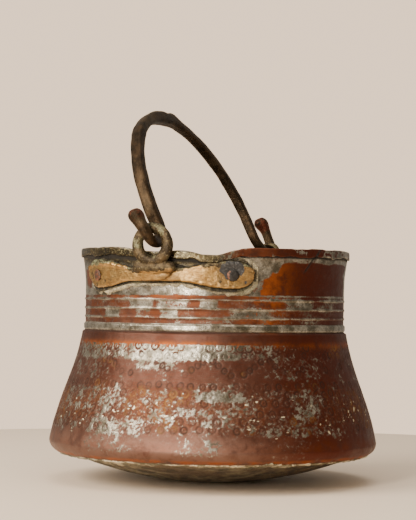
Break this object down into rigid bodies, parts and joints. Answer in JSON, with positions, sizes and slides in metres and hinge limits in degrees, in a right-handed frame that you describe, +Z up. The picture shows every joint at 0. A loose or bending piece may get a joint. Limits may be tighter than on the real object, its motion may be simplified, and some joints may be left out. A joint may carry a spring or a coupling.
{
  "type": "cauldron",
  "caption": "Hand-hammered, tinned copper cauldron with a flared skirt, dished bottom and a forged bail that swings in two cast brass lugs.",
  "frame": {"origin": "centre of the flat on the bottom pan that the cauldron stands on, which is the bottom centre of its box", "axes": "+Z up, Y along the line that the bail turns about, front lug at -Y"},
  "size_m": [0.26, 0.26, 0.2956],
  "materials": {
    "tinned_copper": "hammered copper with worn tin, red-brown to rose",
    "sooty_copper": "copper under soot and green-brown crust",
    "tin_solder": "rough wiped solder",
    "cast_brass": "worn cast brass, dark patina on the ring",
    "solder_crust": "dark crusted solder",
    "copper_rivet": "hammered copper, dull",
    "forged_iron": "forged, dark brown patina, handled smooth"
  },
  "bodies": {
    "vessel": {"body_wall": "tinned_copper", "bottom_pan": "sooty_copper", "bottom_seam_solder": "tin_solder", "lug_front": "cast_brass", "lug_rear": "cast_brass", "solder_bed_front": "solder_crust", "solder_bed_rear": "solder_crust", "rivet_front_left": "copper_rivet", "rivet_front_right": "copper_rivet", "rivet_rear_left": "copper_rivet", "rivet_rear_right": "copper_rivet"},
    "bail": {"bail_handle": "forged_iron"}
  },
  "joints": [
    {"name": "bail_swing", "type": "hinge", "parent": "vessel", "child": "bail", "pos_m": [0, 0, 0.1834], "axis": [0, 1, 0], "range_deg": [-60, 110]}
  ]
}
